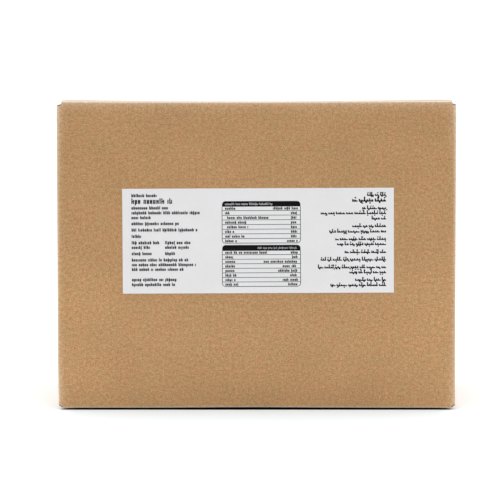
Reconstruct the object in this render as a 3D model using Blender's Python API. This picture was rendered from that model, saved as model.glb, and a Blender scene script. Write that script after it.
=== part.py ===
# A shut corrugated shipping carton with a paper label on its front panel.
# Metres, +Z up. The origin is the middle of the base and the front panel faces -Y.
import math

import bmesh
import bpy

# Outside of the shut carton.
CARTON_WIDTH = 0.400
CARTON_DEPTH = 0.250
CARTON_HEIGHT = 0.3115

# One board thickness. The side panels fold under the outer flaps, so their folds sit this much lower.
BOARD = 0.004

# Creases: the four upright corners, the outer flaps' folds and the side panels' folds.
CORNER_RADIUS = 0.0035
TOP_FOLD_RADIUS = 0.0012
BOTTOM_FOLD_RADIUS = 0.0018
SIDE_FOLD_RADIUS = 0.003
ARC_STEPS = 7

# The outer flaps climb from their folds to lie over the flaps below, in a curve that flattens inwards.
# On top they climb more, and at the base they reach the floor a little way in from their folds.
TOP_CLIMB = 0.0019
TOP_CLIMB_REACH = 0.015
BASE_CLIMB = 0.0018
BASE_CLIMB_REACH = 0.022
CLIMB_STEPS = 5

# The wide panels lean in just below the top folds.
LEAN = 0.0016
LEAN_HEIGHT = 0.010

# The slots between the flaps leave each outer flap short of the carton's ends.
TOP_SLOT_LEFT = 0.0053
TOP_SLOT_RIGHT = 0.0038
BOTTOM_SLOT = 0.0045

# Gap where the two outer flaps meet.
SEAM_GAP = 0.0025

# The label, its middle on the front panel, and how far it was stuck on askew, anticlockwise.
LABEL_WIDTH = 0.2723
LABEL_HEIGHT = 0.1054
LABEL_THICKNESS = 0.0004
LABEL_MIDDLE_X = 0.0018
LABEL_MIDDLE_Z = 0.1706
LABEL_TILT = math.radians(0.22)

# Clearance between the label and the board behind it.
LABEL_CLEARANCE = 0.0003

# How far each cutting shape runs past the carton.
CUT_MARGIN = 0.02

# Smooth shading stops at edges sharper than this.
SHARP_ANGLE = math.radians(30.0)


def clear_scene():
    for item in list(bpy.data.objects):
        bpy.data.objects.remove(item, do_unlink=True)


def plain_material(name, colour, roughness):
    material = bpy.data.materials.new(name)
    material.use_nodes = True
    shader = material.node_tree.nodes["Principled BSDF"]
    shader.inputs["Base Color"].default_value = (*colour, 1.0)
    shader.inputs["Roughness"].default_value = roughness
    shader.inputs["Metallic"].default_value = 0.0
    return material


def quarter_arc(centre, radius, start_degrees):
    points = []
    for step in range(ARC_STEPS + 1):
        angle = math.radians(start_degrees + 90.0 * step / ARC_STEPS)
        x = centre[0] + radius * math.cos(angle)
        y = centre[1] + radius * math.sin(angle)
        points.append((x, y))
    return points


# The carton seen from above: a rectangle with its upright creases rounded.
def plan_outline():
    across = CARTON_WIDTH / 2 - CORNER_RADIUS
    back = CARTON_DEPTH / 2 - CORNER_RADIUS
    outline = quarter_arc((across, back), CORNER_RADIUS, 0)
    outline += quarter_arc((-across, back), CORNER_RADIUS, 90)
    outline += quarter_arc((-across, -back), CORNER_RADIUS, 180)
    outline += quarter_arc((across, -back), CORNER_RADIUS, 270)
    return outline


# The curve of a flap from its fold to where it lies flat. The fold end comes first.
def climb_curve(fold_y, fold_z, flat_z, reach):
    points = []
    for step in range(1, CLIMB_STEPS + 1):
        share = step / CLIMB_STEPS
        left_to_climb = (1.0 - share) ** 2
        points.append((fold_y - reach * share, flat_z + (fold_z - flat_z) * left_to_climb))
    return points


# The carton seen from its end: the outer flaps' folds, and the seams where the flaps meet.
def end_outline():
    half_depth = CARTON_DEPTH / 2
    half_seam = SEAM_GAP / 2
    top_y = half_depth - LEAN - TOP_FOLD_RADIUS
    top_z = CARTON_HEIGHT - TOP_CLIMB - TOP_FOLD_RADIUS
    bottom_y = half_depth - BOTTOM_FOLD_RADIUS
    bottom_z = BASE_CLIMB + BOTTOM_FOLD_RADIUS
    half = [(half_seam, BOARD), (half_seam, 0.0)]
    half += climb_curve(bottom_y, BASE_CLIMB, 0.0, BASE_CLIMB_REACH)[::-1]
    half += quarter_arc((bottom_y, bottom_z), BOTTOM_FOLD_RADIUS, 270)
    half.append((half_depth, CARTON_HEIGHT - LEAN_HEIGHT))
    half += quarter_arc((top_y, top_z), TOP_FOLD_RADIUS, 0)
    half += climb_curve(top_y, CARTON_HEIGHT - TOP_CLIMB, CARTON_HEIGHT, TOP_CLIMB_REACH)
    half += [(half_seam, CARTON_HEIGHT), (half_seam, CARTON_HEIGHT - BOARD)]
    return half + [(-y, z) for y, z in reversed(half)]


# The carton seen from the front: the side panels' folds, each a board lower than the outer flaps.
def front_outline():
    half_width = CARTON_WIDTH / 2
    fold_x = half_width - SIDE_FOLD_RADIUS
    low_z = BOARD + SIDE_FOLD_RADIUS
    high_z = CARTON_HEIGHT - BOARD - SIDE_FOLD_RADIUS
    bottom_x = half_width - BOTTOM_SLOT
    top_right = half_width - TOP_SLOT_RIGHT
    top_left = -half_width + TOP_SLOT_LEFT
    outline = [(bottom_x, 0.0), (bottom_x, BOARD)]
    outline += quarter_arc((fold_x, low_z), SIDE_FOLD_RADIUS, 270)
    outline += quarter_arc((fold_x, high_z), SIDE_FOLD_RADIUS, 0)
    outline += [(top_right, CARTON_HEIGHT - BOARD), (top_right, CARTON_HEIGHT)]
    outline += [(top_left, CARTON_HEIGHT), (top_left, CARTON_HEIGHT - BOARD)]
    outline += quarter_arc((-fold_x, high_z), SIDE_FOLD_RADIUS, 90)
    outline += quarter_arc((-fold_x, low_z), SIDE_FOLD_RADIUS, 180)
    outline += [(-bottom_x, BOARD), (-bottom_x, 0.0)]
    return outline


# A solid of one outline run along X, Y or Z between two values.
def prism(name, outline, axis, low, high):
    places = {
        "X": lambda point, along: (along, point[0], point[1]),
        "Y": lambda point, along: (point[0], along, point[1]),
        "Z": lambda point, along: (point[0], point[1], along),
    }
    shape = bmesh.new()
    first = [shape.verts.new(places[axis](point, low)) for point in outline]
    last = [shape.verts.new(places[axis](point, high)) for point in outline]
    shape.faces.new(first)
    shape.faces.new(last)
    count = len(outline)
    for index in range(count):
        following = (index + 1) % count
        shape.faces.new((first[index], first[following], last[following], last[index]))
    bmesh.ops.recalc_face_normals(shape, faces=shape.faces)
    mesh = bpy.data.meshes.new(name)
    shape.to_mesh(mesh)
    shape.free()
    item = bpy.data.objects.new(name, mesh)
    bpy.context.scene.collection.objects.link(item)
    return item


# Keeps only what lies inside the second solid as well.
def keep_inside(item, cutter):
    cutter.hide_render = True
    cutter.display_type = "WIRE"
    cut = item.modifiers.new("keep_" + cutter.name, "BOOLEAN")
    cut.operation = "INTERSECT"
    cut.solver = "EXACT"
    cut.object = cutter


def finish(item, material):
    item.data.materials.clear()
    item.data.materials.append(material)
    item.data.shade_smooth()
    item.data.set_sharp_from_angle(angle=SHARP_ANGLE)


def build_carton(material):
    reach_x = CARTON_WIDTH / 2 + CUT_MARGIN
    reach_y = CARTON_DEPTH / 2 + CUT_MARGIN
    carton = prism("carton", plan_outline(), "Z", -CUT_MARGIN, CARTON_HEIGHT + CUT_MARGIN)
    finish(carton, material)
    end_shape = prism("end_shape", end_outline(), "X", -reach_x, reach_x)
    finish(end_shape, material)
    front_shape = prism("front_shape", front_outline(), "Y", -reach_y, reach_y)
    finish(front_shape, material)
    keep_inside(carton, end_shape)
    keep_inside(carton, front_shape)
    return carton


def build_label(material):
    half_width = LABEL_WIDTH / 2
    half_height = LABEL_HEIGHT / 2
    corners = [
        (half_width, -half_height),
        (half_width, half_height),
        (-half_width, half_height),
        (-half_width, -half_height),
    ]
    outline = []
    for x, z in corners:
        turned_x = x * math.cos(LABEL_TILT) - z * math.sin(LABEL_TILT)
        turned_z = x * math.sin(LABEL_TILT) + z * math.cos(LABEL_TILT)
        outline.append((LABEL_MIDDLE_X + turned_x, LABEL_MIDDLE_Z + turned_z))
    back_y = -CARTON_DEPTH / 2 - LABEL_CLEARANCE
    label = prism("label", outline, "Y", back_y - LABEL_THICKNESS, back_y)
    finish(label, material)
    return label


clear_scene()
board_material = plain_material("board", (0.46, 0.275, 0.135), 0.88)
paper_material = plain_material("paper", (0.78, 0.78, 0.785), 0.62)
build_carton(board_material)
build_label(paper_material)
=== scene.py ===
# Looks of a shut corrugated butter carton: its folded board, the paper label and the label's print.
import math
import random

import bmesh
import bpy
from mathutils import Matrix, Vector, noise


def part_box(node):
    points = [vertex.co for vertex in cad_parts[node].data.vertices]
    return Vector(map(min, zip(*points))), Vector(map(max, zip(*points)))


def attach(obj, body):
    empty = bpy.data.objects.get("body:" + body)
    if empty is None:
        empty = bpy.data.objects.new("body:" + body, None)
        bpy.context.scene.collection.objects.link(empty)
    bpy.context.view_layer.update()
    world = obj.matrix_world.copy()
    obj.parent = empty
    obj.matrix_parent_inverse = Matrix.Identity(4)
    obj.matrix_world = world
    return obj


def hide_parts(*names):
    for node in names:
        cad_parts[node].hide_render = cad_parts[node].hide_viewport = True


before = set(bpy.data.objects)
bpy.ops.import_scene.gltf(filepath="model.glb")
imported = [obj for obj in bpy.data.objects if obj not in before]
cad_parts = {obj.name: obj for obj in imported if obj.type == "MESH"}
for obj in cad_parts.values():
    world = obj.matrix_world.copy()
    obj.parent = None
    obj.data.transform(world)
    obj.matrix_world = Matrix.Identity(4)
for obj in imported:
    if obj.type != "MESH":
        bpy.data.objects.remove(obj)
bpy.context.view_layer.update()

# Millimetres to the scene's metres.
MM = 0.001

# The carton's box, from the solids.
carton_low, carton_high = (Vector(corner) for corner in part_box("carton"))
HALF_WIDTH = (carton_high.x - carton_low.x) / 2
HALF_DEPTH = (carton_high.y - carton_low.y) / 2
HEIGHT = carton_high.z - carton_low.z

# Board thickness, and the room between two layers of board that lie on each other.
BOARD = 4.0 * MM
LAYER_GAP = 0.3 * MM

# Folds of the flaps. The board bends tightly there, under a softer lean of the panels near the top.
TOP_FOLD = 0.8 * MM
BOTTOM_FOLD = 1.6 * MM
SIDE_FOLD = 1.8 * MM
LEAN_DEPTH = 2.0 * MM
LEAN_REACH = 4.5 * MM
LEAN_CURVE = 8

# The outer flaps climb from their folds to lie over the inner ones, less so in the carton's middle.
# At the base the folds stand off the floor, less so at the corners.
CLIMB_ENDS = 1.9 * MM
CLIMB_MIDDLE = 1.3 * MM
CLIMB_REACH = 6.5 * MM
BASE_CLIMB_ENDS = 1.5 * MM
BASE_CLIMB = 1.98 * MM
BASE_CLIMB_ARCH = 0.6 * MM
BASE_ARCH_REACH = 70.0 * MM
BASE_CLIMB_REACH = 8.0 * MM
BASE_END_ZONE = (4.0 * MM, 16.0 * MM)

# The upright creases are crushed at their top ends, and the left side leans in at its foot.
CRUSH = 1.7 * MM
CRUSH_REACH = 3.8 * MM
CRUSH_HEIGHT = 14.0 * MM
FOOT_LEAN = 0.8 * MM
FOOT_HEIGHT = 50.0 * MM
SQUEEZE_START = 12.0 * MM

# How far each outer flap stops short of the side panels, and each inner flap of the wide panels.
TOP_SLOT_LEFT = 4.6 * MM
TOP_SLOT_RIGHT = 3.5 * MM
BOTTOM_SLOT = 4.5 * MM
INNER_SLOT = 5.0 * MM

# Radii of the upright creases at the base and the top. The front right one is tighter.
CREASE_RADII = (2.3 * MM, 3.3 * MM)
TIGHT_CREASE_RADII = (2.2 * MM, 2.9 * MM)

# The least room between an upright crease and a slot's side, and a slot's root.
SLOT_ROOM = 0.6 * MM
ROOT_ROOM = 0.2 * MM

# The step in from a slot's side to its root, and how far the root lies from the top or base: beside
# the outer flap, where the upright crease starts, at its middle and beside the inner flap. The top
# slot at the front right is cut less deep.
ROOT_STEP = 0.4 * MM
ROOT_DEPTHS = (1.2 * MM, 2.3 * MM, 3.1 * MM, 4.2 * MM)
SHORT_ROOT_DEPTHS = (1.0 * MM, 1.6 * MM, 2.3 * MM, 3.4 * MM)
BASE_ROOT_DEPTHS = (1.2 * MM, 1.9 * MM, 2.7 * MM, 3.4 * MM)

# Painted shade: the board is painted dark along the roots of the slots, where shade falls into them.
NOTCH_PAINTED_SHADE = 0.15
NOTCH_START = 0.4 * MM
NOTCH_END = 1.6 * MM

# The gap between the outer flaps' free edges, and the length of the inner flaps.
SEAM_GAP = 2.5 * MM
INNER_FLAP = 122.0 * MM

# The glue tab that joins the sheet's two ends behind the back panel.
TAB_WIDTH = 35.0 * MM
TAB_SHORT = 12.0 * MM
JOINT_GAP = 0.8 * MM

# How far the worn colour with its painted highlight spreads from a crease, at its middle and its ends, below
# a top fold, over the flaps as painted sheen and above a base fold, and how far below the top the panels are
# painted paler as painted light.
CREASE_WEAR_AND_HIGHLIGHT_REACH = 1.5 * MM
CREASE_WEAR_AND_HIGHLIGHT_ENDS = 3.0 * MM
FOLD_WEAR_AND_HIGHLIGHT_REACH = 0.6 * MM
FLAP_WEAR_AND_SHEEN_REACH = 10.0 * MM
BASE_WEAR_AND_HIGHLIGHT_REACH = 0.4 * MM
PALE_REACH = 4.0 * MM

# How strong the worn colour with its painted highlight is: along the creases, right at a top fold, softly
# below it over several times the reach, and at a base fold, where it ends sooner over the flaps.
CREASE_STRENGTH = 0.9
SHARP_STRENGTH = 0.7
SOFT_STRENGTH = 0.3
SOFT_TIMES = 7
BASE_STRENGTH = 0.9
BASE_TIMES = 4

# How light the board is: over most of it, and the painted light added near the top, low down and low down by
# the sides, and the painted shade taken off at the foot.
TONE = 0.969
TONE_TOP = 0.1
TONE_LOW = 0.049
TONE_LOW_SIDES = 0.03
TONE_FOOT = 0.075
FOOT_AT_SIDES = 0.2
SIDE_ZONE = (100.0 * MM, 170.0 * MM)
LOW_ZONE = (95.0 * MM, 200.0 * MM)
FOOT_ZONE = 40.0 * MM

# Lines of the mesh: their spacing on the panels, how many turn each crease and fold, and the closer
# ones beside the slots, at the glue tab's end and beside the folds. The flaps' rows crowd to the fold.
PANEL_STEP = 6.0 * MM
CREASE_STEPS = 7
FOLD_STEPS = 5
FLAP_ROWS = 20
FLAP_CROWDING = 1.25
SLOT_LINES = (6.4 * MM, 7.6 * MM, 9.2 * MM, 12.0 * MM)
TAB_LINES = (5.0 * MM, 9.0 * MM)
FOLD_LINES = (0.0, 0.6 * MM, 1.2 * MM, 2.6 * MM, 4.4 * MM, 6.6 * MM, 9.2 * MM, 12.5 * MM)

# How far the board is off flat: the panels' slow waves, the top's sag in front, behind and at the seam.
WAVE_DEPTH = 0.7 * MM
WAVE_LENGTH = 130.0 * MM
WAVE_CONTRAST = 0.9
DETAIL_SHARE = 0.35
DETAIL_SCALE = 2.3
WAVE_SEEDS = {"front": 3.0, "back": 11.0, "left": 17.0, "right": 23.0, "top_front": 31.0, "top_back": 37.0}
TOP_WAVE_FRONT = 0.6 * MM
TOP_WAVE_BACK = 0.25 * MM
SAG_FRONT = 1.15 * MM
SAG_BACK = 1.7 * MM
SAG_SEAM = 0.6 * MM
SAG_REACH = 60.0 * MM
SAG_CURVE_LEFT = 2.0
SAG_CURVE_RIGHT = 1.4

# How far in from its edges a panel or the top is held flat by its folds.
HELD_UPRIGHT = 45.0 * MM
HELD_WIDE = 40.0 * MM
HELD_SIDE = 35.0 * MM
HELD_TOP = 70.0 * MM

# A shallow score beside each upright crease, deeper near the top.
SCORE_DEPTH = 0.25 * MM
SCORE_PLACE = 5.6 * MM
SCORE_WIDTH = 1.3 * MM
SCORE_LOW_SHARE = 0.35
SCORE_SHALLOW_BELOW = 40.0 * MM
SCORE_DEEP_ABOVE = 15.0 * MM

# Smooth shading stops at edges sharper than this.
SHARP_ANGLE = math.radians(38)

# The label: its size, how far it is askew, anticlockwise, its thickness and how it lifts off the board,
# most along its foot and less at its other edges.
LABEL_WIDTH = 272.1 * MM
LABEL_HEIGHT = 105.35 * MM
LABEL_TILT = math.radians(0.22)
LABEL_PAPER = 0.18 * MM
LABEL_GLUE = 0.04 * MM
LABEL_LIFT = 0.25 * MM
LABEL_EDGE_SHARE = 0.4
LABEL_FOOT_ZONE = 5.0 * MM
LABEL_EDGE_ZONE = 4.0 * MM
LABEL_EDGE_LINES = (1.0 * MM, 2.5 * MM)
LABEL_STEP = 4.5 * MM
INK_RISE = 0.03 * MM


def mix(a, b, share):
    return a + (b - a) * share


def smooth_share(value, start, end):
    share = min(max((value - start) / (end - start), 0.0), 1.0)
    return share * share * (3.0 - 2.0 * share)


# Shape of the board

# The plan of the sheet: its corners in order, from the glue tab round to the back panel's free edge.
TAB_Y = HALF_DEPTH - BOARD - LAYER_GAP
PLAN = [
    Vector((-HALF_WIDTH + TAB_WIDTH, TAB_Y)),
    Vector((-HALF_WIDTH, TAB_Y)),
    Vector((-HALF_WIDTH, -HALF_DEPTH)),
    Vector((HALF_WIDTH, -HALF_DEPTH)),
    Vector((HALF_WIDTH, HALF_DEPTH)),
    Vector((-HALF_WIDTH + JOINT_GAP, HALF_DEPTH)),
]
TAB, LEFT, FRONT, RIGHT, BACK = range(5)
BACK_LEFT, FRONT_RIGHT, FREE_END = 1, 3, 5
OUTER_PANELS = (FRONT, BACK)


# Radius of an upright crease at a height. The creases are looser higher up.
def crease_radius(corner, z):
    low, high = TIGHT_CREASE_RADII if corner == FRONT_RIGHT else CREASE_RADII
    return mix(low, high, z / HEIGHT)


# Where the slot beside a panel's flap ends, measured along the panel from its corner.
def slot_reach(panel, corner, z):
    if panel not in OUTER_PANELS:
        return INNER_SLOT
    on_right = PLAN[corner].x > 0
    top = TOP_SLOT_RIGHT if on_right else TOP_SLOT_LEFT
    reach = mix(BOTTOM_SLOT, top, smooth_share(z, 0.3 * HEIGHT, 0.7 * HEIGHT))
    return reach - JOINT_GAP if corner == FREE_END else reach


# One upright line of the sheet. A column on a panel is a distance from one of the panel's corners.
# A column on a crease is a share of the turn round its corner.
class Column:
    def __init__(self, kind, panel, corner, amount=0.0, flap=False):
        self.kind = kind
        self.panel = panel
        self.corner = corner
        self.amount = amount
        self.flap = flap
        self.along = 0.0
        self.from_crease = 0.0
        outer = panel in OUTER_PANELS
        self.fold_top = TOP_FOLD if outer else SIDE_FOLD
        self.fold_bottom = BOTTOM_FOLD if outer else SIDE_FOLD
        self.inset = 0.0 if outer else BOARD + LAYER_GAP
        self.flap_length = HALF_DEPTH - SEAM_GAP / 2 if outer else INNER_FLAP
        self.high = HEIGHT - self.inset - self.fold_top
        self.low = self.inset + self.fold_bottom

    def at_root(self, top_depth, base_depth=None):
        self.high = HEIGHT - top_depth
        self.low = top_depth if base_depth is None else base_depth
        return self

    def direction(self):
        return (PLAN[self.panel + 1] - PLAN[self.panel]).normalized()

    def place(self, z):
        if self.kind == "crease":
            return self.place_on_crease(z)
        distance = self.amount
        if self.kind in ("slot", "root"):
            room = SLOT_ROOM if self.kind == "slot" else ROOT_ROOM
            distance = slot_reach(self.panel, self.corner, z) - self.amount
            radius = 0.0 if self.corner == FREE_END else crease_radius(self.corner, z)
            distance = max(distance, radius + room)
        if self.corner == self.panel:
            return PLAN[self.corner] + self.direction() * distance
        return PLAN[self.corner] - self.direction() * distance

    def place_on_crease(self, z):
        arriving = (PLAN[self.corner] - PLAN[self.corner - 1]).normalized()
        leaving = (PLAN[self.corner + 1] - PLAN[self.corner]).normalized()
        radius = crease_radius(self.corner, z)
        centre = PLAN[self.corner] - arriving * radius + leaving * radius
        angle = self.amount * math.pi / 2
        return centre - leaving * radius * math.cos(angle) + arriving * radius * math.sin(angle)


# The columns of one panel's end, from its corner inwards.
def end_columns(panel, corner):
    if panel == TAB:
        return [Column("plain", panel, corner, distance) for distance in TAB_LINES]
    side = 0 if panel in OUTER_PANELS else -1
    top_depths = SHORT_ROOT_DEPTHS if corner == FRONT_RIGHT else ROOT_DEPTHS
    columns = []
    if corner == FREE_END:
        columns.append(Column("plain", panel, corner, 0.0).at_root(ROOT_DEPTHS[1]))
    root = Column("root", panel, corner, ROOT_STEP).at_root(top_depths[side], BASE_ROOT_DEPTHS[side])
    columns.append(root)
    columns.append(Column("slot", panel, corner, 0.0, True))
    for distance in SLOT_LINES:
        columns.append(Column("plain", panel, corner, distance, True))
    return columns


def panel_columns(panel):
    if panel == TAB:
        first = [Column("plain", panel, panel, 0.0)]
    else:
        first = end_columns(panel, panel)
    last = end_columns(panel, panel + 1)
    start = first[-1].amount
    span = (PLAN[panel + 1] - PLAN[panel]).length - start - last[-1].amount
    count = max(round(span / PANEL_STEP), 1)
    middle = [
        Column("plain", panel, panel, start + span * step / count, panel != TAB)
        for step in range(1, count)
    ]
    return first + middle + last[::-1]


def crease_columns(corner):
    top_depths = SHORT_ROOT_DEPTHS if corner == FRONT_RIGHT else ROOT_DEPTHS
    columns = []
    leaving_outer = corner in OUTER_PANELS
    for step in range(CREASE_STEPS + 1):
        share = step / CREASE_STEPS
        from_outer = 1 - share if leaving_outer else share
        depths = []
        for outer, start, middle, inner in (top_depths, BASE_ROOT_DEPTHS):
            if from_outer < 0.5:
                depths.append(mix(start, middle, 2 * from_outer))
            else:
                depths.append(mix(middle, mix(middle, inner, 0.7), 2 * from_outer - 1))
        if corner == BACK_LEFT:
            depths = [mix(TAB_SHORT, ROOT_DEPTHS[-1], share)] * 2
        columns.append(Column("crease", None, corner, share).at_root(*depths))
    return columns


# All the columns in order, with how far round the sheet each one is and how far from a crease.
def sheet_columns():
    columns = panel_columns(TAB)
    for column in columns:
        column.at_root(TAB_SHORT)
    for panel in (LEFT, FRONT, RIGHT, BACK):
        columns += crease_columns(panel) + panel_columns(panel)
    for before, column in zip(columns, columns[1:]):
        step = column.place(HEIGHT / 2) - before.place(HEIGHT / 2)
        column.along = before.along + step.length
    ridges = [column.along for column in columns if column.kind == "crease" and 0.4 < column.amount < 0.6]
    for column in columns:
        column.from_crease = min(abs(column.along - ridge) for ridge in ridges)
    return columns


# The rows of the sheet from the bottom flaps' free edges to the top flaps': a zone and a share of it.
def sheet_rows():
    rows = []
    for step in range(FLAP_ROWS, 0, -1):
        rows.append(("flap_bottom", step / FLAP_ROWS))
    for step in range(FOLD_STEPS, 0, -1):
        rows.append(("fold_bottom", step / FOLD_STEPS))
    near = [distance / HEIGHT for distance in FOLD_LINES]
    count = round((1 - 2 * near[-1]) * HEIGHT / PANEL_STEP)
    middle = [mix(near[-1], 1 - near[-1], step / count) for step in range(1, count)]
    for share in near + middle + [1 - share for share in reversed(near)]:
        rows.append(("wall", share))
    for step in range(1, FOLD_STEPS + 1):
        rows.append(("fold_top", step / FOLD_STEPS))
    for step in range(1, FLAP_ROWS + 1):
        rows.append(("flap_top", step / FLAP_ROWS))
    return rows


# Where a column and a row meet on the board's outer face, and how far up the flat sheet that is.
def outer_place(column, zone, share):
    if zone == "wall":
        z = mix(column.low, column.high, share)
        x, y = column.place(z)
        return Vector((x, y, z)), z
    upward = 1 if zone.endswith("top") else -1
    fold = column.fold_top if upward > 0 else column.fold_bottom
    edge = column.high if upward > 0 else column.low
    x, y = column.place(edge)
    direction = column.direction()
    inward = Vector((-direction.y, direction.x, 0.0))
    if zone.startswith("fold"):
        angle = share * math.pi / 2
        run = fold * (1 - math.cos(angle))
        rise = fold * math.sin(angle)
        length = fold * angle
    else:
        run = mix(fold, column.flap_length, share ** FLAP_CROWDING)
        rise = fold
        length = fold * (math.pi / 2 - 1) + run
    point = Vector((x, y, edge + upward * rise)) + inward * run
    return point, edge + upward * length


# The place on the board's inner face behind an outer one.
def inner_place(column, zone, share, outer):
    behind = column.corner == BACK_LEFT or column.panel in (TAB, LEFT)
    back = TAB_Y if behind and outer.y > 0 else HALF_DEPTH
    x = min(max(outer.x, -HALF_WIDTH + BOARD), HALF_WIDTH - BOARD)
    y = min(max(outer.y, -HALF_DEPTH + BOARD), back - BOARD)
    bound = BOARD + column.inset if column.flap else BOARD
    z = outer.z
    if zone == "wall":
        z = mix(BOARD, HEIGHT - BOARD, share)
        if column.panel == TAB or column.corner == BACK_LEFT and column.kind == "crease":
            z = outer.z
    z = min(max(z, bound), HEIGHT - bound)
    return Vector((x, y, z))


def slow_wave(u, v, seed):
    place = Vector((u / WAVE_LENGTH, v / WAVE_LENGTH, seed))
    detail = Vector((DETAIL_SCALE * u / WAVE_LENGTH, DETAIL_SCALE * v / WAVE_LENGTH, seed + 7.0))
    value = noise.noise(place) + DETAIL_SHARE * noise.noise(detail)
    return min(max(0.5 + WAVE_CONTRAST * value, 0.0), 1.0)


# How free a point is to move, from 0 at a panel's edges to 1 well inside it.
def freedom(value, half, reach):
    return smooth_share(half - abs(value), 0.0, reach)


# The top rises sooner towards its right end than towards its left.
def top_sag(x, y):
    across = 1 - (abs(x) / HALF_WIDTH) ** (SAG_CURVE_LEFT if x < 0 else SAG_CURVE_RIGHT)
    back = (y + HALF_DEPTH) / (2 * HALF_DEPTH)
    slope = mix(SAG_FRONT, SAG_BACK, back)
    seam = SAG_SEAM * 4 * back * (1 - back)
    depth = TOP_WAVE_FRONT if y < 0 else TOP_WAVE_BACK
    seed = WAVE_SEEDS["top_front" if y < 0 else "top_back"]
    wave = depth * slow_wave(x, y, seed) * freedom(y, HALF_DEPTH, HELD_TOP)
    return (slope + seam + wave) * across


# How far the outer flaps' folds lie below the top at a place, and above the floor at the base.
def top_climb(x, y):
    across = 1 - (x / HALF_WIDTH) ** 2
    run = max(HALF_DEPTH - abs(y) - TOP_FOLD, 0.0)
    return mix(CLIMB_ENDS, CLIMB_MIDDLE, across) * math.exp(-run / CLIMB_REACH)


def base_climb(x, y):
    from_end = smooth_share(HALF_WIDTH - abs(x), *BASE_END_ZONE)
    height = mix(BASE_CLIMB_ENDS, BASE_CLIMB, from_end)
    height += BASE_CLIMB_ARCH * math.exp(-(x / BASE_ARCH_REACH) ** 2)
    run = max(HALF_DEPTH - abs(y) - BOTTOM_FOLD, 0.0)
    return height * math.exp(-run / BASE_CLIMB_REACH)


# Moves a point of the ideal box to where the real board has it.
def settle(point):
    x, y, z = point
    moved = Vector(point)
    above = z - HEIGHT / 2
    upright = freedom(above, HEIGHT / 2, HELD_UPRIGHT)
    if abs(y) > HALF_DEPTH - 2 * BOARD - LAYER_GAP:
        inward = -math.copysign(1.0, y)
        seed = WAVE_SEEDS["front" if y < 0 else "back"]
        moved.y += inward * WAVE_DEPTH * slow_wave(x, z, seed) * freedom(x, HALF_WIDTH, HELD_WIDE) * upright
    if abs(x) > HALF_WIDTH - 2 * BOARD:
        inward = -math.copysign(1.0, x)
        seed = WAVE_SEEDS["left" if x < 0 else "right"]
        moved.x += inward * WAVE_DEPTH * slow_wave(y, z, seed) * freedom(y, HALF_DEPTH, HELD_SIDE) * upright
    lean = LEAN_DEPTH * math.exp(-max(HEIGHT - TOP_FOLD - z, 0.0) / LEAN_REACH)
    moved.y -= math.copysign(lean, y) * (abs(y) / HALF_DEPTH) ** LEAN_CURVE
    run = HALF_DEPTH - abs(y)
    squeeze = CRUSH * math.exp(-run / CRUSH_REACH - (HEIGHT - z) / CRUSH_HEIGHT)
    if x < 0:
        squeeze += FOOT_LEAN * (1 - smooth_share(z, 0.0, FOOT_HEIGHT))
    moved.x -= math.copysign(squeeze, x) * smooth_share(abs(x), HALF_WIDTH - SQUEEZE_START, HALF_WIDTH)
    from_side = HALF_WIDTH - abs(x) - SCORE_PLACE
    if abs(y) > HALF_DEPTH - 0.1 * MM and abs(from_side) < 4 * SCORE_WIDTH:
        upper = smooth_share(z, HEIGHT - SCORE_SHALLOW_BELOW, HEIGHT - SCORE_DEEP_ABOVE)
        strength = mix(SCORE_LOW_SHARE, 1.0, upper)
        groove = SCORE_DEPTH * strength * math.exp(-(from_side / SCORE_WIDTH) ** 2)
        moved.y -= math.copysign(groove, y)
    near_top = smooth_share(z, HEIGHT - SAG_REACH, HEIGHT - 2 * BOARD)
    moved.z -= (top_sag(x, y) + top_climb(x, y)) * near_top
    moved.z += base_climb(x, y) * (1 - smooth_share(z, 2 * BOARD, SAG_REACH))
    return moved


def new_object(name, data):
    item = bpy.data.objects.new(name, data)
    bpy.context.scene.collection.objects.link(item)
    return item


# Makes an object of a finished shape, flat shaded, or smooth up to its sharp edges.
def finish_shape(shape, name, smooth=False):
    mesh = bpy.data.meshes.new(name)
    shape.to_mesh(mesh)
    shape.free()
    if smooth:
        mesh.shade_smooth()
        mesh.set_sharp_from_angle(angle=SHARP_ANGLE)
    return new_object(name, mesh)


# How far in from the carton's walls a place is, measured in the reach of the wear and painted sheen over the
# flaps.
def inside_share(place):
    return max(min(HALF_DEPTH - abs(place.y), HALF_WIDTH - abs(place.x)), 0.0) / FLAP_WEAR_AND_SHEEN_REACH


# How much worn colour and painted highlight the board has at a place: most at the folds, and fading both
# ways from them. Over the top flaps it is painted sheen, and just below the top fold and at the base fold a
# painted highlight.
def fold_wear_and_highlight(place):
    inside = inside_share(place)
    below = (HEIGHT - place.z) / FOLD_WEAR_AND_HIGHLIGHT_REACH
    above = max(place.z - BOTTOM_FOLD / 2, 0.0) / BASE_WEAR_AND_HIGHLIGHT_REACH
    top = SHARP_STRENGTH * math.exp(-below) + SOFT_STRENGTH * math.exp(-below / SOFT_TIMES)
    base = BASE_STRENGTH * math.exp(-above - BASE_TIMES * inside)
    return max(top * math.exp(-inside), base)


# Wear along an upright crease, with a painted highlight where the rounded crease catches the light.
def crease_wear_and_highlight(from_crease, z):
    from_middle = smooth_share(abs(z - HEIGHT / 2), 0.2 * HEIGHT, 0.5 * HEIGHT)
    reach = mix(CREASE_WEAR_AND_HIGHLIGHT_REACH, CREASE_WEAR_AND_HIGHLIGHT_ENDS, from_middle)
    return CREASE_STRENGTH * math.exp(-from_crease / reach)


# How light the board is at a place, with painted light and shade: painted paler under the top and low down
# by the sides, and painted darker at the middle of the base.
def painted_light_tone(place):
    side = smooth_share(abs(place.x), *SIDE_ZONE)
    low = 1 - smooth_share(place.z, *LOW_ZONE)
    foot = 1 - smooth_share(place.z, 0.0, FOOT_ZONE)
    high = math.exp(-(HEIGHT - place.z) / PALE_REACH - inside_share(place))
    added = TONE_TOP * high + TONE_LOW * low + TONE_LOW_SIDES * side * low
    return TONE + added - TONE_FOOT * foot * mix(1.0, FOOT_AT_SIDES, side)


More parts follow.
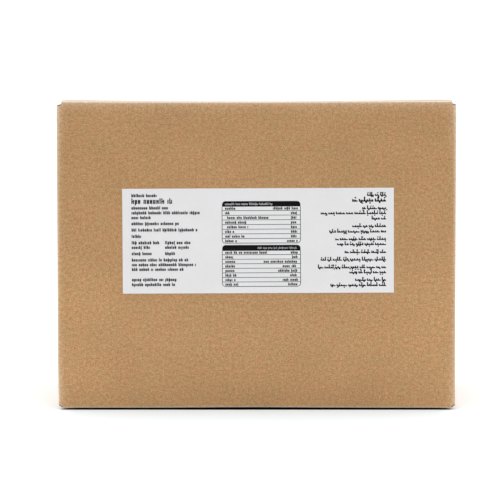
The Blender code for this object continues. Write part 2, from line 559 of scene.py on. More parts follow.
# The carton's one sheet of board, slotted and folded, with its raw edges.
def build_board():
    columns = sheet_columns()
    rows = sheet_rows()
    shape = bmesh.new()
    sheet = shape.verts.layers.float_vector.new("sheet")
    # The creases and folds carry wear together with painted highlight and sheen.
    creased_and_lit = shape.verts.layers.float.new("creased_and_lit")
    worn_and_sheened = shape.verts.layers.float.new("worn_and_sheened")
    # The tone carries painted light and shade.
    tone = shape.verts.layers.float.new("tone")
    outer = {}
    inner = {}
    for number, column in enumerate(columns):
        for row, (zone, share) in enumerate(rows):
            if zone != "wall" and not column.flap:
                continue
            place, height = outer_place(column, zone, share)
            behind = inner_place(column, zone, share, place)
            notch = 1.0
            if not column.flap:
                from_root = min(share, 1 - share) * HEIGHT
                notch = smooth_share(from_root, NOTCH_START, NOTCH_END)
            for places, spot, depth in ((outer, place, 0.0), (inner, behind, BOARD)):
                vertex = shape.verts.new(settle(spot))
                vertex[sheet] = (column.along, height, depth)
                vertex[creased_and_lit] = crease_wear_and_highlight(column.from_crease, place.z) * notch
                vertex[worn_and_sheened] = fold_wear_and_highlight(place) * notch
                # Painted shade darkens the tone at the slots' roots.
                vertex[tone] = painted_light_tone(place) * mix(NOTCH_PAINTED_SHADE, 1.0, notch)
                places[number, row] = vertex
    edges = {}
    for number in range(len(columns) - 1):
        for row in range(len(rows) - 1):
            cell = ((number, row), (number + 1, row), (number + 1, row + 1), (number, row + 1))
            if not all(key in outer for key in cell):
                continue
            if rows[row][0] != "wall" or rows[row + 1][0] != "wall":
                if not (columns[number].flap and columns[number + 1].flap):
                    continue
            shape.faces.new([outer[key] for key in cell])
            shape.faces.new([inner[key] for key in reversed(cell)])
            for start, end in zip(cell, cell[1:] + cell[:1]):
                edges[start, end] = True
    for start, end in edges:
        if (end, start) not in edges:
            rim = shape.faces.new((outer[end], outer[start], inner[start], inner[end]))
            rim.material_index = 1
    bmesh.ops.remove_doubles(shape, verts=list(inner.values()), dist=0.001 * MM)
    loose = [vertex for vertex in shape.verts if not vertex.link_faces]
    bmesh.ops.delete(shape, geom=loose, context="VERTS")
    item = finish_shape(shape, "carton_board", True)
    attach(item, "root")
    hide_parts("carton")
    return item


# Shape of the label and its print

label_low, label_high = (Vector(corner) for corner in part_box("label"))
LABEL_MIDDLE = (label_low + label_high) / 2


# How far the label's paper stands off the board at a distance from its left and top edges.
def label_lift(across, down):
    from_bottom = LABEL_HEIGHT - down
    edge = min(across, LABEL_WIDTH - across, down)
    lift = LABEL_LIFT * (1 - smooth_share(from_bottom, 0.0, LABEL_FOOT_ZONE))
    lift += LABEL_EDGE_SHARE * LABEL_LIFT * (1 - smooth_share(edge, 0.0, LABEL_EDGE_ZONE))
    return LABEL_GLUE + lift


# A place on the label, from its left and top edges, at a height above its back.
def on_label(across, down, rise):
    u = across - LABEL_WIDTH / 2
    v = LABEL_HEIGHT / 2 - down
    x = LABEL_MIDDLE.x + u * math.cos(LABEL_TILT) - v * math.sin(LABEL_TILT)
    z = LABEL_MIDDLE.z + u * math.sin(LABEL_TILT) + v * math.cos(LABEL_TILT)
    board = settle(Vector((x, -HALF_DEPTH, z)))
    return Vector((board.x, board.y - label_lift(across, down) - rise, board.z))


def spaced(length, step):
    count = max(round(length / step), 1)
    return [length * index / count for index in range(count + 1)]


def build_label():
    shape = bmesh.new()
    across = spaced(LABEL_WIDTH, LABEL_STEP)
    down = spaced(LABEL_HEIGHT, LABEL_STEP)
    for places, length in ((across, LABEL_WIDTH), (down, LABEL_HEIGHT)):
        places[1:1] = LABEL_EDGE_LINES
        places[-1:-1] = [length - distance for distance in reversed(LABEL_EDGE_LINES)]
    layers = []
    for rise in (LABEL_PAPER, 0.0):
        layers.append([[shape.verts.new(on_label(a, d, rise)) for a in across] for d in down])
    front, back = layers
    last_row = len(down) - 1
    last_column = len(across) - 1
    for row in range(last_row):
        for column in range(last_column):
            cell = ((row + 1, column), (row + 1, column + 1), (row, column + 1), (row, column))
            shape.faces.new([front[r][c] for r, c in cell])
            shape.faces.new([back[r][c] for r, c in reversed(cell)])
    loop = [(last_row, column) for column in range(last_column)]
    loop += [(row, last_column) for row in range(last_row, 0, -1)]
    loop += [(0, column) for column in range(last_column, 0, -1)]
    loop += [(row, 0) for row in range(last_row)]
    for (r, c), (r2, c2) in zip(loop, loop[1:] + loop[:1]):
        shape.faces.new((front[r2][c2], front[r][c], back[r][c], back[r2][c2]))
    item = finish_shape(shape, "label_paper", True)
    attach(item, "root")
    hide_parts("label")
    return item


# A thin flat mark on the label between an upper and a lower line of points that run left to right.
# A point is a distance from the label's left edge and one from its top edge.
def add_ribbon(shape, upper, lower, rise=INK_RISE):
    front = LABEL_PAPER + rise
    back = front - 0.5 * INK_RISE
    lines = []
    for points, height in ((upper, front), (upper, back), (lower, back), (lower, front)):
        lines.append([shape.verts.new(on_label(across, down, height)) for across, down in points])
    for line, following in zip(lines, lines[1:] + lines[:1]):
        for index in range(len(line) - 1):
            shape.faces.new((line[index], line[index + 1], following[index + 1], following[index]))
    shape.faces.new([line[0] for line in lines])
    shape.faces.new([line[-1] for line in reversed(lines)])


def add_bar(shape, left, top, right, bottom, rise=INK_RISE):
    add_ribbon(shape, [(left, top), (right, top)], [(left, bottom), (right, bottom)], rise)


# A long bar has points all along it, so that it follows the board's waves.
def add_long_bar(shape, left, top, right, bottom):
    places = [left + step for step in spaced(right - left, LABEL_STEP)]
    add_ribbon(shape, [(across, top) for across in places], [(across, bottom) for across in places])


def finish_print(shape, name):
    item = finish_shape(shape, name)
    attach(item, "root")
    return item


# Upright print in shares of a row's height: small strokes, the pen, gaps, the tails below the row and
# the strokes' widths. A cross stroke's places are shares of a small stroke. Then how often a stroke is
# tall, has a tail or stands alone.
SMALL_STROKE = 0.72
UPRIGHT_PEN = 0.17
STROKE_GAP = 0.13
WORD_GAP = 0.45
ROW_END = 0.3
TAIL = 0.28
STROKE_WIDTHS = (0.42, 0.55)
CROSS_PLACES = (0.0, 0.45, 0.82)
TALL_OFTEN = 0.4
TAIL_OFTEN = 0.1
ALONE_OFTEN = 0.2


# A row of plain strokes that stands for a line of upright print.
def add_upright_row(shape, dice, left, right, middle, height, rise=INK_RISE, weight=1.0):
    top = middle - height / 2
    base = middle + height / 2
    small = SMALL_STROKE * height
    pen = UPRIGHT_PEN * height * weight
    gap = STROKE_GAP * height
    at = left
    strokes = dice.randint(3, 8)
    while at < right - ROW_END * height:
        if strokes == 0:
            at += WORD_GAP * height
            strokes = dice.randint(2, 9)
            continue
        strokes -= 1
        alone = dice.random() < ALONE_OFTEN
        tall = dice.random() < TALL_OFTEN
        upper = top if tall else base - small
        lower = base + (TAIL * height if dice.random() < TAIL_OFTEN else 0.0)
        width = height * dice.uniform(*STROKE_WIDTHS)
        add_bar(shape, at, upper, at + pen, lower, rise)
        if alone:
            at += pen + gap
            continue
        add_bar(shape, at + width - pen, base - small, at + width, base, rise)
        level = base - small * dice.choice(CROSS_PLACES)
        add_bar(shape, at + pen, level - pen, at + width - pen, level, rise)
        at += width + gap


# Joined print in shares of a row's height: the pen, how long a joined stroke is and the gap after it,
# how high its bumps rise and how far apart they stand, the dots above and below, and the hooks. Then
# how often a bump is low, has a dot, has it below, or has a hook.
JOINED_PEN = 0.24
JOINED_LENGTHS = (1.2, 3.4)
JOINED_GAP = 0.28
JOINED_END = 0.4
BUMP_RISES = (0.15, 0.45)
TALL_BUMP = 0.8
BUMP_STEPS = (0.42, 0.85)
DOT_SHIFT = 0.1
DOT_ABOVE = 0.72
DOT_BELOW = 0.12
HOOK_DROP = 0.3
HOOK_PENS = 2.2
LOW_BUMP_OFTEN = 0.8
DOT_OFTEN = 0.35
DOT_BELOW_OFTEN = 0.4
HOOK_OFTEN = 0.22


# A row of low joined strokes with bumps and dots, for the lines on the label's right side.
def add_joined_row(shape, dice, left, right, middle, height, weight=1.0):
    base = middle + 0.25 * height
    pen = JOINED_PEN * height * weight
    at = right
    while at > left + JOINED_END * height:
        length = min(height * dice.uniform(*JOINED_LENGTHS), at - left)
        start = at - length
        add_bar(shape, start, base - pen, at, base)
        bump = start
        while bump < at - pen:
            tall = dice.random()
            rise = mix(*BUMP_RISES, tall) if tall < LOW_BUMP_OFTEN else TALL_BUMP
            add_bar(shape, bump, base - pen - rise * height, bump + pen, base - pen)
            if dice.random() < DOT_OFTEN:
                below = dice.random() < DOT_BELOW_OFTEN
                dot = base + DOT_BELOW * height if below else base - pen - DOT_ABOVE * height
                dot_left = bump + DOT_SHIFT * height
                add_bar(shape, dot_left, dot, dot_left + pen, dot + pen)
            if dice.random() < HOOK_OFTEN:
                add_bar(shape, bump + pen, base, bump + HOOK_PENS * pen, base + HOOK_DROP * height)
            bump += height * dice.uniform(*BUMP_STEPS)
        at = start - JOINED_GAP * height


# The rows of the left column in millimetres: the drop from the row above, and each stretch of print.
TEXT_LEFT = 9.2 * MM
TEXT_HEIGHT = 3.3 * MM
TEXT_WEIGHT = 1.55
TITLE_HEIGHT = 5.5 * MM
TITLE_WEIGHT = 1.2
LEFT_ROWS = [
    (6.85, (0, 25.5)),
    (5.6, (0, 42)),
    (6.8, (0, 37)),
    (4.9, (0, 70)),
    (4.8, (0, 20)),
    (6.0, (0, 48)),
    (6.4, (0, 67)),
    (6.4, (0, 10.5)),
    (6.4, (0, 28.5), (33.5, 58)),
    (4.7, (0, 20.5), (33.5, 58)),
    (6.2, (0, 20.5), (33.5, 44)),
    (6.4, (0, 57.5)),
    (4.8, (0, 65.5)),
    (4.7, (0, 53)),
    (10.3, (0, 47)),
    (5.0, (0, 44)),
]

# The rows of the right column in millimetres: the drop from the row above, and the row's length.
TEXT_RIGHT = LABEL_WIDTH - 7.8 * MM
JOINED_HEIGHT = 3.5 * MM
JOINED_WEIGHT = 1.4
JOINED_TITLE_HEIGHT = 4.6 * MM
JOINED_TITLE_WEIGHT = 1.3
RIGHT_ROWS = [
    (7.3, 19),
    (5.5, 34),
    (7.9, 24),
    (4.9, 65.5),
    (5.4, 16.5),
    (7.6, 34),
    (5.4, 57),
    (7.6, 51),
    (5.1, 51),
    (8.0, 43),
    (7.5, 66),
    (7.7, 68.5),
    (5.1, 37),
    (7.6, 32),
    (5.3, 56),
]
TITLE_ROW = 1


def build_left_print():
    dice = random.Random(5)
    shape = bmesh.new()
    middle = 0.0
    for row, (drop, *stretches) in enumerate(LEFT_ROWS):
        middle += drop * MM
        title = row == TITLE_ROW
        height = TITLE_HEIGHT if title else TEXT_HEIGHT
        weight = TITLE_WEIGHT if title else TEXT_WEIGHT
        for start, end in stretches:
            left = TEXT_LEFT + start * MM
            right = TEXT_LEFT + end * MM
            add_upright_row(shape, dice, left, right, middle, height, weight=weight)
    return finish_print(shape, "print_left")


def build_right_print():
    dice = random.Random(8)
    shape = bmesh.new()
    middle = 0.0
    for row, (drop, length) in enumerate(RIGHT_ROWS):
        middle += drop * MM
        title = row == TITLE_ROW
        height = JOINED_TITLE_HEIGHT if title else JOINED_HEIGHT
        weight = JOINED_TITLE_WEIGHT if title else JOINED_WEIGHT
        add_joined_row(shape, dice, TEXT_RIGHT - length * MM, TEXT_RIGHT, middle, height, weight)
    return finish_print(shape, "print_right")


# The two ruled tables have a dark heading with rounded corners over eight ruled rows.
TABLE_LEFT = 100.0 * MM
TABLE_WIDTH = 78.5 * MM
TABLE_CORNER = 3.4 * MM
ARC_STEPS = 6
TABLE_MARGIN = 3.0 * MM
TABLE_ROWS = 8
TABLE_PRINT = 2.9 * MM
TABLE_WEIGHT = 1.4
HEADING_OVERHANG = 0.7 * MM
HEADING_PRINT = 2.3 * MM
RULE = 0.52 * MM
FRAME_RULE = 0.58 * MM

# Each table in millimetres: its top below the label's, how high it and its heading are, where the
# heading's print and each row's first print start and end from the table's left side, and how long
# the print at the row's right end is. The heading's weight is how heavy its print is.
TABLES = [
    {
        "top": 12.9,
        "height": 42.1,
        "heading": 4.8,
        "heading_print": (3.0, 50.0),
        "heading_weight": 0.7,
        "starts": (3, 3, 5, 3, 5, 3, 3, 3),
        "ends": (13, 8, 47, 24.5, 27, 13, 22.7, 14.5),
        "right_lengths": (24.5, 6.5, 6.5, 6.5, 6.5, 6.5, 6.5, 10.5),
    },
    {
        "top": 56.9,
        "height": 41.7,
        "heading": 5.1,
        "heading_print": (35.5, 75.5),
        "heading_weight": 0.55,
        "starts": (3, 3, 3, 3, 3, 3, 3, 3),
        "ends": (45, 12, 12.7, 13.6, 13.6, 14, 13, 16.6),
        "right_lengths": (6.7, 5.5, 34, 15, 19.5, 7.5, 15, 9.5),
    },
]


# A quarter turn about a centre, as points from the label's left and top edges.
def corner_arc(across, down, radius, start_degrees):
    points = []
    for step in range(ARC_STEPS + 1):
        angle = math.radians(start_degrees + 90 * step / ARC_STEPS)
        points.append((across + radius * math.cos(angle), down - radius * math.sin(angle)))
    return points


def build_table_heading(shape, left, top, right, bottom):
    inner_left = left + TABLE_CORNER
    inner_right = right - TABLE_CORNER
    left_arc = corner_arc(inner_left, top + TABLE_CORNER, TABLE_CORNER, 90)
    right_arc = corner_arc(inner_right, top + TABLE_CORNER, TABLE_CORNER, 0)
    upper = left_arc[::-1][:-1]
    upper += [(inner_left + step, top) for step in spaced(inner_right - inner_left, LABEL_STEP)]
    upper += right_arc[::-1][1:]
    add_ribbon(shape, upper, [(across, bottom) for across, down in upper])


# A line down a table's left side, along its foot and up its right side, some way outside them.
def frame_line(left, top, right, bottom, outside):
    inner_left = left + TABLE_CORNER
    inner_right = right - TABLE_CORNER
    foot = bottom - TABLE_CORNER
    downs = [top + step for step in spaced(foot - top, LABEL_STEP)]
    line = [(left - outside, down) for down in downs]
    line += corner_arc(inner_left, foot, TABLE_CORNER + outside, 180)[1:-1]
    line += [(inner_left + step, bottom + outside) for step in spaced(inner_right - inner_left, LABEL_STEP)]
    line += corner_arc(inner_right, foot, TABLE_CORNER + outside, 270)[1:-1]
    line += [(right + outside, down) for down in reversed(downs)]
    return line


def build_table_frame(shape, left, top, right, bottom):
    inner = frame_line(left, top, right, bottom, -FRAME_RULE / 2)
    outer = frame_line(left, top, right, bottom, FRAME_RULE / 2)
    add_ribbon(shape, inner, outer)


def build_tables():
    dice = random.Random(12)
    lines = bmesh.new()
    rows = bmesh.new()
    pale = bmesh.new()
    left = TABLE_LEFT
    right = TABLE_LEFT + TABLE_WIDTH
    for table in TABLES:
        top = table["top"] * MM
        heading = table["heading"] * MM
        bottom = top + table["height"] * MM
        heading_bottom = top + heading + HEADING_OVERHANG
        build_table_heading(lines, left, top, right, heading_bottom)
        build_table_frame(lines, left, heading_bottom, right, bottom)
        pitch = (bottom - top - heading) / TABLE_ROWS
        for row in range(TABLE_ROWS):
            under = top + heading + pitch * (row + 1)
            if row < TABLE_ROWS - 1:
                inside = FRAME_RULE / 2
                add_long_bar(lines, left + inside, under - RULE / 2, right - inside, under + RULE / 2)
            right_start = right - TABLE_MARGIN - table["right_lengths"][row] * MM
            stretches = [
                (left + table["starts"][row] * MM, left + table["ends"][row] * MM),
                (right_start, right - TABLE_MARGIN),
            ]
            for start, end in stretches:
                add_upright_row(rows, dice, start, end, under - pitch / 2, TABLE_PRINT, weight=TABLE_WEIGHT)
        start, end = (left + place * MM for place in table["heading_print"])
        middle = (top + heading_bottom) / 2
        add_upright_row(pale, dice, start, end, middle, HEADING_PRINT, 2 * INK_RISE, table["heading_weight"])
    return [
        finish_print(lines, "table_lines"),
        finish_print(rows, "table_print"),
        finish_print(pale, "heading_print"),
    ]


# Finishes


def add_node(tree, kind, **settings):
    node = tree.nodes.new(kind)
    for name, value in settings.items():
        setattr(node, name, value)
    return node


# Joins two sockets, or sets the second to a plain value.
def feed(tree, source, target):
    if isinstance(source, bpy.types.NodeSocket):
        tree.links.new(source, target)
    else:
        target.default_value = source


def maths(tree, operation, first, second=0.0):
    node = add_node(tree, "ShaderNodeMath", operation=operation)
    feed(tree, first, node.inputs[0])
    feed(tree, second, node.inputs[1])
    return node.outputs[0]


def multiply_add(tree, value, times, added):
    total = maths(tree, "MULTIPLY_ADD", value, times)
    feed(tree, added, total.node.inputs[2])
    return total


def rescale(tree, value, low, high, new_low=0.0, new_high=1.0):
    node = add_node(tree, "ShaderNodeMapRange", clamp=True)
    feed(tree, value, node.inputs["Value"])
    node.inputs["From Min"].default_value = low
    node.inputs["From Max"].default_value = high
    node.inputs["To Min"].default_value = new_low
    node.inputs["To Max"].default_value = new_high
    return node.outputs["Result"]


def blend_colour(tree, share, first, second, way="MIX"):
    node = add_node(tree, "ShaderNodeMix", data_type="RGBA", blend_type=way)
    feed(tree, share, node.inputs["Factor"])
    feed(tree, first, node.inputs[6])
    feed(tree, second, node.inputs[7])
    return node.outputs[2]


def noise_value(tree, place, scale, detail, roughness, stretch=None, turn=0.0):
    if stretch:
        mapping = add_node(tree, "ShaderNodeMapping", vector_type="POINT")
        mapping.inputs["Rotation"].default_value = (0.0, 0.0, math.radians(turn))
        mapping.inputs["Scale"].default_value = stretch
        feed(tree, place, mapping.inputs["Vector"])
        place = mapping.outputs["Vector"]
    node = add_node(tree, "ShaderNodeTexNoise", noise_dimensions="3D")
    feed(tree, place, node.inputs["Vector"])
    feed(tree, scale, node.inputs["Scale"])
    node.inputs["Detail"].default_value = detail
    node.inputs["Roughness"].default_value = roughness
    return node.outputs["Fac"]


def new_group(name, inputs, outputs):
    group = bpy.data.node_groups.new(name, "ShaderNodeTree")
    for label, kind, value in inputs:
        socket = group.interface.new_socket(label, in_out="INPUT", socket_type=kind)
        if value is not None:
            socket.default_value = value
    for label, kind in outputs:
        group.interface.new_socket(label, in_out="OUTPUT", socket_type=kind)
    return group, add_node(group, "NodeGroupInput"), add_node(group, "NodeGroupOutput")


# Grains of paper in each metre, and the fibres' directions in degrees with how they are stretched.
COARSE_GRAIN = 300.0
FINE_GRAIN = 760.0
FIBRE_GRAIN = 1700.0
FIBRE_WAYS = ((12.0, (1.0, 0.16, 1.0)), (74.0, (1.0, 0.2, 1.0)), (131.0, (1.0, 0.14, 1.0)))


# Paper seen close: a fine mottle, and thin fibres lying three ways, dark and pale.
def make_fibre_group():
    group, given, result = new_group(
        "paper_fibre",
        [("Place", "NodeSocketVector", None), ("Scale", "NodeSocketFloat", 1.0)],
        [
            ("Mottle", "NodeSocketFloat"),
            ("Dark Fibre", "NodeSocketFloat"),
            ("Pale Fibre", "NodeSocketFloat"),
        ],
    )
    place = given.outputs["Place"]
    size = given.outputs["Scale"]
    coarse = noise_value(group, place, maths(group, "MULTIPLY", size, COARSE_GRAIN), 2.0, 0.6)
    fine = noise_value(group, place, maths(group, "MULTIPLY", size, FINE_GRAIN), 2.0, 0.6)
    both = maths(group, "ADD", maths(group, "MULTIPLY", coarse, 0.35), maths(group, "MULTIPLY", fine, 0.65))
    feed(group, rescale(group, both, 0.34, 0.66), result.inputs["Mottle"])
    masks = []
    for turn, stretch in FIBRE_WAYS:
        grain = maths(group, "MULTIPLY", size, FIBRE_GRAIN)
        masks.append(noise_value(group, place, grain, 1.0, 0.5, stretch, turn))
    dark = maths(group, "MAXIMUM", maths(group, "MAXIMUM", masks[0], masks[1]), masks[2])
    pale = maths(group, "MINIMUM", maths(group, "MINIMUM", masks[0], masks[1]), masks[2])
    feed(group, rescale(group, dark, 0.7, 0.8), result.inputs["Dark Fibre"])
    feed(group, rescale(group, pale, 0.3, 0.2), result.inputs["Pale Fibre"])
    return group


# Slow clouds over a sheet, one for how light it is and one for how warm.
def make_cloud_group():
    group, given, result = new_group(
        "slow_cloud",
        [("Place", "NodeSocketVector", None), ("Scale", "NodeSocketFloat", 20.0)],
        [("Light", "NodeSocketFloat"), ("Warm", "NodeSocketFloat")],
    )
    place = given.outputs["Place"]
    light = noise_value(group, place, given.outputs["Scale"], 3.0, 0.55)
    shifted = add_node(group, "ShaderNodeVectorMath", operation="ADD")
    feed(group, place, shifted.inputs[0])
    shifted.inputs[1].default_value = (3.1, 5.7, 1.3)
    finer = maths(group, "MULTIPLY", given.outputs["Scale"], 4.0)
    warm = noise_value(group, shifted.outputs[0], finer, 1.5, 0.5)
    feed(group, rescale(group, light, 0.3, 0.7), result.inputs["Light"])
    feed(group, rescale(group, warm, 0.3, 0.7), result.inputs["Warm"])
    return group


def place_group(tree, group, place, scale):
    node = add_node(tree, "ShaderNodeGroup", node_tree=group)
    feed(tree, place, node.inputs["Place"])
    node.inputs["Scale"].default_value = scale
    return node


def new_material(name, roughness):
    material = bpy.data.materials.new(name)
    material.use_nodes = True
    tree = material.node_tree
    shader = tree.nodes["Principled BSDF"]
    shader.inputs["Roughness"].default_value = roughness
    shader.inputs["Metallic"].default_value = 0.0
    return material, tree, shader


def own_place(tree):
    return add_node(tree, "ShaderNodeTexCoord").outputs["Object"]


# A value that the board's mesh carries, such as each point's place on the flat sheet.
def carried(tree, name):
    return add_node(tree, "ShaderNodeAttribute", attribute_type="GEOMETRY", attribute_name=name)


def split_place(tree, place):
    parts = add_node(tree, "ShaderNodeSeparateXYZ")
    feed(tree, place, parts.inputs[0])
    return parts.outputs


# The board's flutes run up the sheet, one beside another.
def flute_wave(tree, along):
    return maths(tree, "SINE", maths(tree, "MULTIPLY", along, 2 * math.pi / FLUTE_PITCH))


def add_bump(tree, shader, height, distance, strength):
    bump = add_node(tree, "ShaderNodeBump")
    bump.inputs["Strength"].default_value = strength
    bump.inputs["Distance"].default_value = distance
    feed(tree, height, bump.inputs["Height"])
    feed(tree, bump.outputs["Normal"], shader.inputs["Normal"])


KRAFT_WARM = (0.498, 0.265, 0.112, 1.0)
KRAFT_OLIVE = (0.471, 0.272, 0.113, 1.0)
KRAFT_DARK = (0.25, 0.13, 0.055, 1.0)
KRAFT_PALE = (0.66, 0.45, 0.26, 1.0)
# Colours of wear mixed with painted highlight and sheen, for the creases and folds.
KRAFT_CREASE_WEAR_AND_LIGHT = (0.88, 0.69, 0.49, 1.0)
KRAFT_WORN_AND_SHEEN = (0.84, 0.82, 0.72, 1.0)
MOTTLE_DARK = (0.70, 0.62, 0.47, 1.0)
MOTTLE_LIGHT = (1.30, 1.38, 1.53, 1.0)

# How the board's tone and relief vary: with the clouds, and with the flutes, which show faintly.
CLOUD_TONE = 0.085
CLOUD_BASE = 0.958
FLUTE_PITCH = 7.6 * MM
FLUTE_TONE = 0.006
FLUTE_RELIEF = 0.18

# The raw edge: the thickness of its two liners, how far the wavy sheet between them swings to each side and
# half its thickness, and the painted shade of the gaps.
LINER = 0.45 * MM
FLUTE_SWING = BOARD / 2 - 0.6 * MM
FLUTE_HALF = 0.32 * MM
EDGE_HOLLOW_SHADE = (0.10, 0.055, 0.025, 1.0)

PAPER_DULL = (0.82, 0.803, 0.803, 1.0)
PAPER_BRIGHT = (0.85, 0.833, 0.837, 1.0)
PAPER_TOOTH = (0.6, 0.6, 0.6, 1.0)
INK_BLACK = (0.003, 0.0025, 0.0025, 1.0)
INK_BLACK_THIN = (0.012, 0.011, 0.011, 1.0)
INK_PALE = (0.66, 0.66, 0.67, 1.0)
INK_PALE_THIN = (0.5, 0.5, 0.5, 1.0)
WHITE = (1.0, 1.0, 1.0, 1.0)


# Brown board: mottle, fibres, slow clouds, a trace of the flutes, the carried painted light and shade, and
# creases and folds painted paler, partly as wear and partly as painted highlight and sheen.
def board_material(fibre_group, cloud_group):
    material, tree, shader = new_material("kraft_board", 0.45)
    place = carried(tree, "sheet").outputs["Vector"]
    fibre = place_group(tree, fibre_group, place, 1.0)
    cloud = place_group(tree, cloud_group, place, 22.0)
    colour = blend_colour(tree, cloud.outputs["Warm"], KRAFT_OLIVE, KRAFT_WARM)
    mottle = blend_colour(tree, fibre.outputs["Mottle"], MOTTLE_DARK, MOTTLE_LIGHT)
    colour = blend_colour(tree, 1.0, colour, mottle, "MULTIPLY")
    light = multiply_add(tree, cloud.outputs["Light"], CLOUD_TONE, CLOUD_BASE)
    # The carried tone is painted light and shade.
    tone = maths(tree, "MULTIPLY", light, carried(tree, "tone").outputs["Fac"])
    wave = flute_wave(tree, split_place(tree, place)["X"])
    tone = maths(tree, "MULTIPLY", tone, multiply_add(tree, wave, FLUTE_TONE, 1.0))
    grey = add_node(tree, "ShaderNodeCombineColor")
    for channel in range(3):
        feed(tree, tone, grey.inputs[channel])
    colour = blend_colour(tree, 1.0, colour, grey.outputs[0], "MULTIPLY")
    for name, share, fibre_colour in (("Dark Fibre", 0.35, KRAFT_DARK), ("Pale Fibre", 0.4, KRAFT_PALE)):
        shown = maths(tree, "MULTIPLY", fibre.outputs[name], share)
        colour = blend_colour(tree, shown, colour, fibre_colour)
    # The creases and folds are painted paler, wear together with painted highlight and sheen, patchy with
    # the mottle.
    patchy_share = rescale(tree, fibre.outputs["Mottle"], 0.0, 1.0, 0.35, 0.75)
    for name, pale in (("creased_and_lit", KRAFT_CREASE_WEAR_AND_LIGHT), ("worn_and_sheened", KRAFT_WORN_AND_SHEEN)):
        shown = maths(tree, "MULTIPLY", carried(tree, name).outputs["Fac"], patchy_share)
        colour = blend_colour(tree, shown, colour, pale)
    feed(tree, colour, shader.inputs["Base Color"])
    feed(tree, rescale(tree, fibre.outputs["Mottle"], 0.0, 1.0, 0.38, 0.5), shader.inputs["Roughness"])
    shader.inputs["Specular IOR Level"].default_value = 0.4
    height = multiply_add(tree, wave, FLUTE_RELIEF, fibre.outputs["Mottle"])
    add_bump(tree, shader, height, 0.06 * MM, 0.6)
    return material


# The board's raw edge: two liners with the wavy inner sheet between them, and painted shade in the hollows.
def edge_material(fibre_group):
    material, tree, shader = new_material("board_raw_edge", 0.9)
    place = carried(tree, "sheet").outputs["Vector"]
    fibre = place_group(tree, fibre_group, place, 1.3)
    parts = split_place(tree, place)
    depth = parts["Z"]
    middle = maths(tree, "ABSOLUTE", maths(tree, "SUBTRACT", depth, BOARD / 2))
    liner = maths(tree, "GREATER_THAN", middle, BOARD / 2 - LINER)
    medium_depth = multiply_add(tree, flute_wave(tree, parts["X"]), FLUTE_SWING, BOARD / 2)
    off = maths(tree, "ABSOLUTE", maths(tree, "SUBTRACT", depth, medium_depth))
    medium = maths(tree, "LESS_THAN", off, FLUTE_HALF)
    solid = maths(tree, "MAXIMUM", liner, medium)
    tone = blend_colour(tree, fibre.outputs["Mottle"], KRAFT_OLIVE, KRAFT_PALE)
    # The hollows between the liners and the wavy sheet are painted dark, as painted shade.
    colour = blend_colour(tree, solid, EDGE_HOLLOW_SHADE, tone)
    feed(tree, colour, shader.inputs["Base Color"])
    feed(tree, rescale(tree, fibre.outputs["Mottle"], 0.0, 1.0, 0.85, 0.95), shader.inputs["Roughness"])
    add_bump(tree, shader, solid, 0.5 * MM, 0.8)
    return material


# White label paper with a faint tooth and slow clouds.
def label_material(fibre_group, cloud_group):
    material, tree, shader = new_material("label_white", 0.55)
    place = own_place(tree)
    fibre = place_group(tree, fibre_group, place, 0.8)
    cloud = place_group(tree, cloud_group, place, 30.0)
    colour = blend_colour(tree, cloud.outputs["Light"], PAPER_DULL, PAPER_BRIGHT)
    colour = blend_colour(tree, maths(tree, "MULTIPLY", fibre.outputs["Mottle"], 0.13), colour, PAPER_TOOTH)
    feed(tree, colour, shader.inputs["Base Color"])
    feed(tree, rescale(tree, fibre.outputs["Mottle"], 0.0, 1.0, 0.5, 0.62), shader.inputs["Roughness"])
    add_bump(tree, shader, fibre.outputs["Mottle"], 0.015 * MM, 0.5)
    return material


# Printing ink, thinner where the paper's tooth keeps it off.
def ink_material(name, ink, thin, fibre_group):
    material, tree, shader = new_material(name, 0.5)
    fibre = place_group(tree, fibre_group, own_place(tree), 2.2)
    colour = blend_colour(tree, rescale(tree, fibre.outputs["Mottle"], 0.55, 1.0), ink, thin)
    feed(tree, colour, shader.inputs["Base Color"])
    feed(tree, rescale(tree, fibre.outputs["Mottle"], 0.0, 1.0, 0.5, 0.65), shader.inputs["Roughness"])
    shader.inputs["Specular IOR Level"].default_value = 0.08
    return material


# Floor, light and camera


# Floor colours: beside the carton it is painted whiter and glows, as painted light; under the carton it is
# painted dark, as a painted shadow.
FLOOR_FRONT = 0.9
FLOOR_REACH = 30.0
FLOOR_FAR = (0.96, 0.98, 1.0, 1.0)
FLOOR_NEAR = (0.865, 0.926, 0.960, 1.0)
FLOOR_PAINTED_SHADOW = (0.04, 0.04, 0.04, 1.0)
FLOOR_PAINTED_GLOW = 0.08

# Where the floor turns from cool to painted white, from the carton's sides outwards, and how far in from the
# carton's sides and front it is painted dark, as a painted shadow.
FLOOR_TURN_START = -20.0 * MM
FLOOR_TURN_END = 10.0 * MM
UNDER_START = 4.0 * MM
UNDER_END = 9.0 * MM
UNDER_FRONT = 1.0 * MM


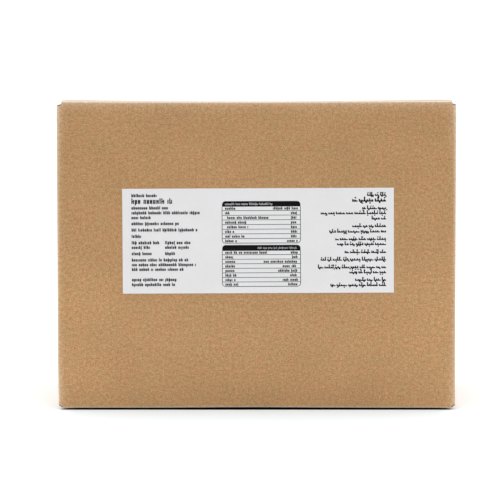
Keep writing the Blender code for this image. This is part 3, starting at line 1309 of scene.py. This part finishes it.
# The floor ends a little way in front of the carton, outside the picture, as a paper sweep would.
# It is cooler in front of the carton and pure white beside it, as in the photo: beside it the floor is
# painted whiter and glows, as painted light that washes out the carton's shade there. Where the carton
# covers it the floor is painted dark, a painted shadow, so that the gap under the folds is dark.
def build_floor():
    shape = bmesh.new()
    corners = [
        (-FLOOR_REACH, -FLOOR_FRONT, 0.0),
        (FLOOR_REACH, -FLOOR_FRONT, 0.0),
        (FLOOR_REACH, FLOOR_REACH, 0.0),
        (-FLOOR_REACH, FLOOR_REACH, 0.0),
    ]
    shape.faces.new([shape.verts.new(corner) for corner in corners])
    floor = finish_shape(shape, "floor")
    material, tree, shader = new_material("floor_white", 0.9)
    parts = split_place(tree, own_place(tree))
    aside = maths(tree, "ABSOLUTE", parts["X"])
    ahead = maths(tree, "ABSOLUTE", parts["Y"])
    # Beside the carton the floor is painted whiter, as painted light.
    beyond = rescale(tree, aside, HALF_WIDTH + FLOOR_TURN_START, HALF_WIDTH + FLOOR_TURN_END)
    colour = blend_colour(tree, beyond, FLOOR_NEAR, FLOOR_FAR)
    # Painted shadow where the carton covers the floor.
    across = rescale(tree, aside, HALF_WIDTH - UNDER_START, HALF_WIDTH - UNDER_END)
    behind = maths(tree, "LESS_THAN", ahead, HALF_DEPTH - UNDER_FRONT)
    colour = blend_colour(tree, maths(tree, "MULTIPLY", across, behind), colour, FLOOR_PAINTED_SHADOW)
    # Painted light: the floor glows beside the carton.
    feed(tree, maths(tree, "MULTIPLY", beyond, FLOOR_PAINTED_GLOW), shader.inputs["Emission Strength"])
    shader.inputs["Emission Color"].default_value = WHITE
    feed(tree, colour, shader.inputs["Base Color"])
    shader.inputs["Specular IOR Level"].default_value = 0.0
    floor.data.materials.append(material)


SKY_LIGHT = 0.55
SKY_SEEN = 1.05
SUN_LIGHT = 2.5
SUN_SPREAD = math.radians(80.0)


# A white surround that the camera and reflections see brighter than it lights, and a broad soft sun.
def build_light():
    world = bpy.data.worlds.new("studio")
    bpy.context.scene.world = world
    world.use_nodes = True
    tree = world.node_tree
    tree.nodes.clear()
    output = add_node(tree, "ShaderNodeOutputWorld")
    ray = add_node(tree, "ShaderNodeLightPath")
    seen = maths(tree, "MAXIMUM", ray.outputs["Is Camera Ray"], ray.outputs["Is Glossy Ray"])
    strength = add_node(tree, "ShaderNodeMapRange")
    feed(tree, seen, strength.inputs["Value"])
    strength.inputs["To Min"].default_value = SKY_LIGHT
    strength.inputs["To Max"].default_value = SKY_SEEN
    sky = add_node(tree, "ShaderNodeBackground")
    sky.inputs["Color"].default_value = WHITE
    feed(tree, strength.outputs["Result"], sky.inputs["Strength"])
    feed(tree, sky.outputs[0], output.inputs["Surface"])
    lamp = bpy.data.lights.new("overhead", "SUN")
    lamp.energy = SUN_LIGHT
    lamp.angle = SUN_SPREAD
    light = new_object("overhead", lamp)
    light.location = (0.0, 0.0, 2.0)


# The camera of the photo: level with the carton's top, a long way off, looking slightly down.
CAMERA_PLACE = Vector((0.0080, -2.5005, 0.3121))
CAMERA_YAW = math.radians(0.347)
CAMERA_PITCH = math.radians(3.632)
CAMERA_ROLL = math.radians(-0.045)
SENSOR_WIDTH = 36.0
FOCAL_LENGTH = 170.9


def build_camera():
    lens = bpy.data.cameras.new("camera")
    lens.sensor_width = SENSOR_WIDTH
    lens.lens = FOCAL_LENGTH
    lens.clip_start = 0.05
    lens.clip_end = 100.0
    camera = new_object("camera", lens)
    turn = Matrix.Rotation(CAMERA_YAW, 4, "Z") @ Matrix.Rotation(math.pi / 2 - CAMERA_PITCH, 4, "X")
    turn = turn @ Matrix.Rotation(CAMERA_ROLL, 4, "Z")
    camera.matrix_world = Matrix.Translation(CAMERA_PLACE) @ turn
    bpy.context.scene.camera = camera


bpy.context.scene.view_settings.view_transform = "Standard"
fibres = make_fibre_group()
clouds = make_cloud_group()
kraft = board_material(fibres, clouds)
raw_edge = edge_material(fibres)
white = label_material(fibres, clouds)
black = ink_material("ink_black", INK_BLACK, INK_BLACK_THIN, fibres)
pale = ink_material("heading_white", INK_PALE, INK_PALE_THIN, fibres)

board = build_board()
board.data.materials.append(kraft)
board.data.materials.append(raw_edge)
label = build_label()
label.data.materials.append(white)
for item in (build_left_print(), build_right_print()):
    item.data.materials.append(black)
table_lines, table_print, heading_print = build_tables()
table_lines.data.materials.append(black)
table_print.data.materials.append(black)
heading_print.data.materials.append(pale)
build_floor()
build_light()
build_camera()
